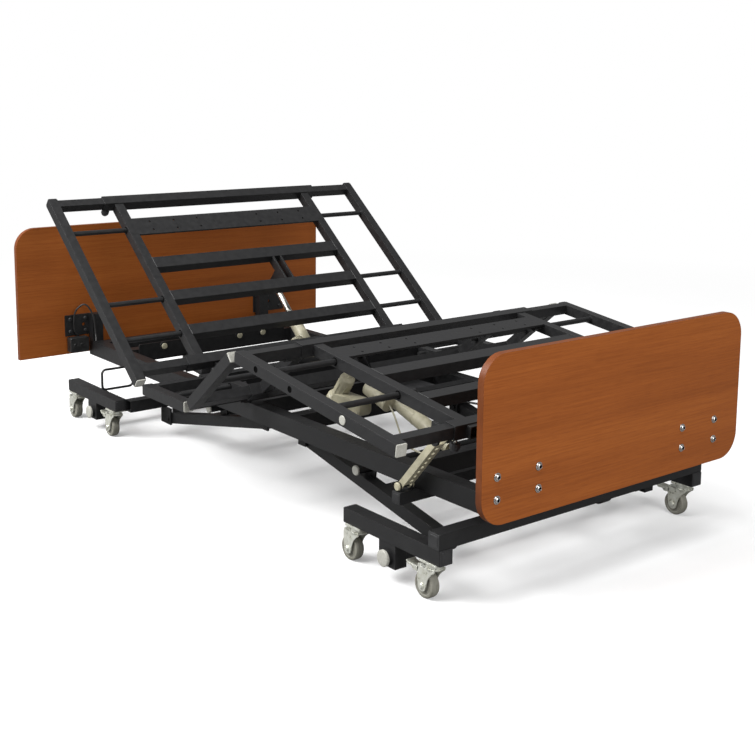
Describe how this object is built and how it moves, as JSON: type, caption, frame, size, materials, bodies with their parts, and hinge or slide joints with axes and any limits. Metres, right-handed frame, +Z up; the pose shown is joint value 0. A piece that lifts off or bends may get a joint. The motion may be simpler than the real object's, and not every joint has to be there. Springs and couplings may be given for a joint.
{
  "type": "adjustable hospital bed",
  "caption": "Adjustable low bed frame with raised back and knee sections, width-extending deck wings, wood-grain end boards and a folding-arm lift base on casters.",
  "frame": {"origin": "on the floor under the middle of the bed, halfway between the outer faces of the end boards", "axes": "+X to the foot end, +Y to the far side when the bed is seen with its foot end on the right, +Z up"},
  "size_m": [2.167, 1.25, 0.7917],
  "materials": {
    "black_frame": "satin black powder coat",
    "board": "cherry wood-grain laminate, satin",
    "bolt": "polished",
    "wheel": "matt grey tread",
    "zinc": "bright zinc plate",
    "rod": "ground",
    "housing": "fine texture",
    "strut": "satin",
    "black_plastic": "fine texture"
  },
  "bodies": {
    "main": {"main_frame": "black_frame", "seat_frame": "black_frame", "headboard": "board", "footboard": "board", "board_brackets": "black_frame", "board_bolts": "bolt", "control_box": "black_plastic", "cable_loops": "black_frame"},
    "back": {"back_frame": "black_frame"},
    "thigh": {"thigh_frame": "black_frame"},
    "calf": {"calf_frame": "black_frame"},
    "strut": {"calf_strut": "strut"},
    "foot_arms": {"foot_arms": "black_frame"},
    "head_arms": {"head_arms": "black_frame"},
    "foot_base": {"foot_base_frame": "black_frame", "foot_pivot_tube": "black_frame", "foot_caster_plates": "zinc"},
    "head_base": {"head_base_frame": "black_frame", "head_stay_tube": "black_frame", "head_caster_plates": "zinc"},
    "back_wing_near": {"back_wing_near": "black_frame"},
    "back_wing_far": {"back_wing_far": "black_frame"},
    "seat_wing_near": {"seat_wing_near": "black_frame"},
    "seat_wing_far": {"seat_wing_far": "black_frame"},
    "thigh_wing_near": {"thigh_wing_near": "black_frame"},
    "thigh_wing_far": {"thigh_wing_far": "black_frame"},
    "calf_wing_near": {"calf_wing_near": "black_frame"},
    "calf_wing_far": {"calf_wing_far": "black_frame"},
    "back_lock_knob_near": {"back_lock_knob_near": "black_plastic"},
    "back_lock_knob_far": {"back_lock_knob_far": "black_plastic"},
    "calf_lock_knob_near": {"calf_lock_knob_near": "black_plastic"},
    "calf_lock_knob_far": {"calf_lock_knob_far": "black_plastic"},
    "caster_fork_foot_near_outer": {"caster_fork_foot_near_outer": "zinc"},
    "caster_wheel_foot_near_outer": {"caster_wheel_foot_near_outer": "wheel"},
    "brake_pedal_foot_near_outer": {"brake_pedal_foot_near_outer": "zinc"},
    "caster_fork_foot_far_outer": {"caster_fork_foot_far_outer": "zinc"},
    "caster_wheel_foot_far_outer": {"caster_wheel_foot_far_outer": "wheel"},
    "brake_pedal_foot_far_outer": {"brake_pedal_foot_far_outer": "zinc"},
    "caster_fork_foot_near_inner": {"caster_fork_foot_near_inner": "zinc"},
    "caster_wheel_foot_near_inner": {"caster_wheel_foot_near_inner": "wheel"},
    "caster_fork_foot_far_inner": {"caster_fork_foot_far_inner": "zinc"},
    "caster_wheel_foot_far_inner": {"caster_wheel_foot_far_inner": "wheel"},
    "caster_fork_head_near_outer": {"caster_fork_head_near_outer": "zinc"},
    "caster_wheel_head_near_outer": {"caster_wheel_head_near_outer": "wheel"},
    "caster_fork_head_far_outer": {"caster_fork_head_far_outer": "zinc"},
    "caster_wheel_head_far_outer": {"caster_wheel_head_far_outer": "wheel"},
    "caster_fork_head_near_inner": {"caster_fork_head_near_inner": "zinc"},
    "caster_wheel_head_near_inner": {"caster_wheel_head_near_inner": "wheel"},
    "brake_pedal_head_near_inner": {"brake_pedal_head_near_inner": "zinc"},
    "caster_fork_head_far_inner": {"caster_fork_head_far_inner": "zinc"},
    "caster_wheel_head_far_inner": {"caster_wheel_head_far_inner": "wheel"},
    "brake_pedal_head_far_inner": {"brake_pedal_head_far_inner": "zinc"},
    "back_actuator_body": {"back_actuator_body": "housing"},
    "back_actuator_rod": {"back_actuator_rod": "rod"},
    "knee_actuator_body": {"knee_actuator_body": "housing"},
    "knee_actuator_rod": {"knee_actuator_rod": "rod"},
    "foot_lift_actuator_body": {"foot_lift_actuator_body": "housing"},
    "foot_lift_actuator_rod": {"foot_lift_actuator_rod": "rod"},
    "head_lift_actuator_body": {"head_lift_actuator_body": "housing"},
    "head_lift_actuator_rod": {"head_lift_actuator_rod": "rod"}
  },
  "joints": [
    {"name": "back_raise", "type": "hinge", "parent": "main", "child": "back", "pos_m": [-0.225, 0, 0.29], "axis": [0, 1, 0], "range_deg": [-39, 24]},
    {"name": "thigh_raise", "type": "hinge", "parent": "main", "child": "thigh", "pos_m": [0.058, 0, 0.29], "axis": [0, -1, 0], "range_deg": [-38.8, 3]},
    {"name": "knee_bend", "type": "hinge", "parent": "thigh", "child": "calf", "pos_m": [0.29804, 0, 0.48299], "axis": [0, -1, 0], "range_deg": [-4.59, 47.41]},
    {"name": "strut_swing", "type": "hinge", "parent": "main", "child": "strut", "pos_m": [0.745, 0, 0.217], "axis": [0, -1, 0], "range_deg": [-42.17, 4.08]},
    {"name": "back_wing_near_draw", "type": "slide", "parent": "back", "child": "back_wing_near", "axis": [0, -1, 0], "range_m": [-0.1524, 0]},
    {"name": "back_wing_far_draw", "type": "slide", "parent": "back", "child": "back_wing_far", "axis": [0, 1, 0], "range_m": [-0.1524, 0]},
    {"name": "seat_wing_near_draw", "type": "slide", "parent": "main", "child": "seat_wing_near", "axis": [0, -1, 0], "range_m": [-0.1524, 0]},
    {"name": "seat_wing_far_draw", "type": "slide", "parent": "main", "child": "seat_wing_far", "axis": [0, 1, 0], "range_m": [-0.1524, 0]},
    {"name": "thigh_wing_near_draw", "type": "slide", "parent": "thigh", "child": "thigh_wing_near", "axis": [0, -1, 0], "range_m": [-0.1524, 0]},
    {"name": "thigh_wing_far_draw", "type": "slide", "parent": "thigh", "child": "thigh_wing_far", "axis": [0, 1, 0], "range_m": [-0.1524, 0]},
    {"name": "calf_wing_near_draw", "type": "slide", "parent": "calf", "child": "calf_wing_near", "axis": [0, -1, 0], "range_m": [-0.1524, 0]},
    {"name": "calf_wing_far_draw", "type": "slide", "parent": "calf", "child": "calf_wing_far", "axis": [0, 1, 0], "range_m": [-0.1524, 0]},
    {"name": "back_lock_near_pull", "type": "slide", "parent": "back", "child": "back_lock_knob_near", "axis": [-0.6293, 0, -0.7771], "range_m": [0, 0.008], "stiffness_N_per_m": 400},
    {"name": "back_lock_far_pull", "type": "slide", "parent": "back", "child": "back_lock_knob_far", "axis": [-0.6293, 0, -0.7771], "range_m": [0, 0.008], "stiffness_N_per_m": 400},
    {"name": "calf_lock_near_pull", "type": "slide", "parent": "calf", "child": "calf_lock_knob_near", "axis": [-0.1305, 0, -0.9914], "range_m": [0, 0.008], "stiffness_N_per_m": 400},
    {"name": "calf_lock_far_pull", "type": "slide", "parent": "calf", "child": "calf_lock_knob_far", "axis": [-0.1305, 0, -0.9914], "range_m": [0, 0.008], "stiffness_N_per_m": 400},
    {"name": "bed_lift", "type": "hinge", "parent": "main", "child": "foot_arms", "pos_m": [0.182, 0, 0.178], "axis": [0, 1, 0], "range_deg": [0, 30]},
    {"name": "head_arm_swing", "type": "hinge", "parent": "main", "child": "head_arms", "pos_m": [-0.012, 0, 0.178], "axis": [0, 1, 0], "range_deg": [-30.6, 0.6]},
    {"name": "foot_base_level", "type": "hinge", "parent": "foot_arms", "child": "foot_base", "pos_m": [0.77, 0, 0.06], "axis": [0, 1, 0], "range_deg": [-30.6, 0.6]},
    {"name": "head_base_level", "type": "hinge", "parent": "head_arms", "child": "head_base", "pos_m": [-0.6, 0, 0.06], "axis": [0, 1, 0], "range_deg": [-0.6, 30.6]},
    {"name": "foot_near_outer_swivel", "type": "hinge", "parent": "foot_base", "child": "caster_fork_foot_near_outer", "pos_m": [0.922, -0.454, 0.08], "axis": [0, 0, 1], "continuous": true},
    {"name": "foot_near_outer_spin", "type": "hinge", "parent": "caster_fork_foot_near_outer", "child": "caster_wheel_foot_near_outer", "pos_m": [0.897, -0.454, 0.0325], "axis": [0, 1, 0], "continuous": true},
    {"name": "foot_near_outer_brake", "type": "hinge", "parent": "caster_fork_foot_near_outer", "child": "brake_pedal_foot_near_outer", "pos_m": [0.868, -0.454, 0.068], "axis": [0, -1, 0], "range_deg": [0, 14]},
    {"name": "foot_far_outer_swivel", "type": "hinge", "parent": "foot_base", "child": "caster_fork_foot_far_outer", "pos_m": [0.922, 0.454, 0.08], "axis": [0, 0, 1], "continuous": true},
    {"name": "foot_far_outer_spin", "type": "hinge", "parent": "caster_fork_foot_far_outer", "child": "caster_wheel_foot_far_outer", "pos_m": [0.897, 0.454, 0.0325], "axis": [0, 1, 0], "continuous": true},
    {"name": "foot_far_outer_brake", "type": "hinge", "parent": "caster_fork_foot_far_outer", "child": "brake_pedal_foot_far_outer", "pos_m": [0.868, 0.454, 0.068], "axis": [0, -1, 0], "range_deg": [0, 14]},
    {"name": "foot_near_inner_swivel", "type": "hinge", "parent": "foot_base", "child": "caster_fork_foot_near_inner", "pos_m": [0.638, -0.454, 0.08], "axis": [0, 0, 1], "continuous": true},
    {"name": "foot_near_inner_spin", "type": "hinge", "parent": "caster_fork_foot_near_inner", "child": "caster_wheel_foot_near_inner", "pos_m": [0.613, -0.454, 0.0325], "axis": [0, 1, 0], "continuous": true},
    {"name": "foot_far_inner_swivel", "type": "hinge", "parent": "foot_base", "child": "caster_fork_foot_far_inner", "pos_m": [0.638, 0.454, 0.08], "axis": [0, 0, 1], "continuous": true},
    {"name": "foot_far_inner_spin", "type": "hinge", "parent": "caster_fork_foot_far_inner", "child": "caster_wheel_foot_far_inner", "pos_m": [0.613, 0.454, 0.0325], "axis": [0, 1, 0], "continuous": true},
    {"name": "head_near_outer_swivel", "type": "hinge", "parent": "head_base", "child": "caster_fork_head_near_outer", "pos_m": [-0.977, -0.454, 0.08], "axis": [0, 0, 1], "continuous": true},
    {"name": "head_near_outer_spin", "type": "hinge", "parent": "caster_fork_head_near_outer", "child": "caster_wheel_head_near_outer", "pos_m": [-1.002, -0.454, 0.0325], "axis": [0, 1, 0], "continuous": true},
    {"name": "head_far_outer_swivel", "type": "hinge", "parent": "head_base", "child": "caster_fork_head_far_outer", "pos_m": [-0.977, 0.454, 0.08], "axis": [0, 0, 1], "continuous": true},
    {"name": "head_far_outer_spin", "type": "hinge", "parent": "caster_fork_head_far_outer", "child": "caster_wheel_head_far_outer", "pos_m": [-1.002, 0.454, 0.0325], "axis": [0, 1, 0], "continuous": true},
    {"name": "head_near_inner_swivel", "type": "hinge", "parent": "head_base", "child": "caster_fork_head_near_inner", "pos_m": [-0.693, -0.454, 0.08], "axis": [0, 0, 1], "continuous": true},
    {"name": "head_near_inner_spin", "type": "hinge", "parent": "caster_fork_head_near_inner", "child": "caster_wheel_head_near_inner", "pos_m": [-0.718, -0.454, 0.0325], "axis": [0, 1, 0], "continuous": true},
    {"name": "head_near_inner_brake", "type": "hinge", "parent": "caster_fork_head_near_inner", "child": "brake_pedal_head_near_inner", "pos_m": [-0.747, -0.454, 0.068], "axis": [0, -1, 0], "range_deg": [0, 14]},
    {"name": "head_far_inner_swivel", "type": "hinge", "parent": "head_base", "child": "caster_fork_head_far_inner", "pos_m": [-0.693, 0.454, 0.08], "axis": [0, 0, 1], "continuous": true},
    {"name": "head_far_inner_spin", "type": "hinge", "parent": "caster_fork_head_far_inner", "child": "caster_wheel_head_far_inner", "pos_m": [-0.718, 0.454, 0.0325], "axis": [0, 1, 0], "continuous": true},
    {"name": "head_far_inner_brake", "type": "hinge", "parent": "caster_fork_head_far_inner", "child": "brake_pedal_head_far_inner", "pos_m": [-0.747, 0.454, 0.068], "axis": [0, -1, 0], "range_deg": [0, 14]},
    {"name": "back_actuator_swing", "type": "hinge", "parent": "main", "child": "back_actuator_body", "pos_m": [-0.29, 0.1, 0.222], "axis": [0, 1, 0], "range_deg": [-42.69, 26.79]},
    {"name": "back_actuator_stroke", "type": "slide", "parent": "back_actuator_body", "child": "back_actuator_rod", "axis": [-0.7445, 0, 0.6676], "range_m": [-0.06258, 0.03926]},
    {"name": "knee_actuator_swing", "type": "hinge", "parent": "main", "child": "knee_actuator_body", "pos_m": [0.66, -0.15, 0.228], "axis": [0, 1, 0], "range_deg": [-19.42, 1.88]},
    {"name": "knee_actuator_stroke", "type": "slide", "parent": "knee_actuator_body", "child": "knee_actuator_rod", "axis": [-0.9496, 0, 0.3134], "range_m": [-0.0395, 0.00382]},
    {"name": "foot_lift_actuator_swing", "type": "hinge", "parent": "main", "child": "foot_lift_actuator_body", "pos_m": [0.972, 0.1, 0.205], "axis": [0, 1, 0], "range_deg": [-20.04, 0.39]},
    {"name": "foot_lift_actuator_stroke", "type": "slide", "parent": "foot_lift_actuator_body", "child": "foot_lift_actuator_rod", "axis": [-0.9943, 0, -0.1066], "range_m": [-0.00174, 0.08869]},
    {"name": "head_lift_actuator_swing", "type": "hinge", "parent": "main", "child": "head_lift_actuator_body", "pos_m": [-0.802, -0.1, 0.205], "axis": [0, 1, 0], "range_deg": [-0.39, 20.04]},
    {"name": "head_lift_actuator_stroke", "type": "slide", "parent": "head_lift_actuator_body", "child": "head_lift_actuator_rod", "axis": [0.9943, 0, -0.1066], "range_m": [-0.00174, 0.08869]}
  ],
  "couplings": [
    {"joint": "knee_bend", "follows": "thigh_raise", "ratio": -1.196},
    {"joint": "strut_swing", "follows": "thigh_raise", "ratio": 1.064},
    {"joint": "head_arm_swing", "follows": "bed_lift", "ratio": -1},
    {"joint": "foot_base_level", "follows": "bed_lift", "ratio": -1},
    {"joint": "head_base_level", "follows": "bed_lift", "ratio": 1},
    {"joint": "back_actuator_swing", "follows": "back_raise", "ratio": 1.0604},
    {"joint": "back_actuator_stroke", "follows": "back_raise", "m_per_rad": 0.08906},
    {"joint": "knee_actuator_swing", "follows": "thigh_raise", "ratio": 0.49},
    {"joint": "knee_actuator_stroke", "follows": "thigh_raise", "m_per_rad": 0.0571},
    {"joint": "foot_lift_actuator_swing", "follows": "bed_lift", "ratio": -0.655},
    {"joint": "foot_lift_actuator_stroke", "follows": "bed_lift", "m_per_rad": 0.16607},
    {"joint": "head_lift_actuator_swing", "follows": "bed_lift", "ratio": 0.655},
    {"joint": "head_lift_actuator_stroke", "follows": "bed_lift", "m_per_rad": 0.16607}
  ]
}
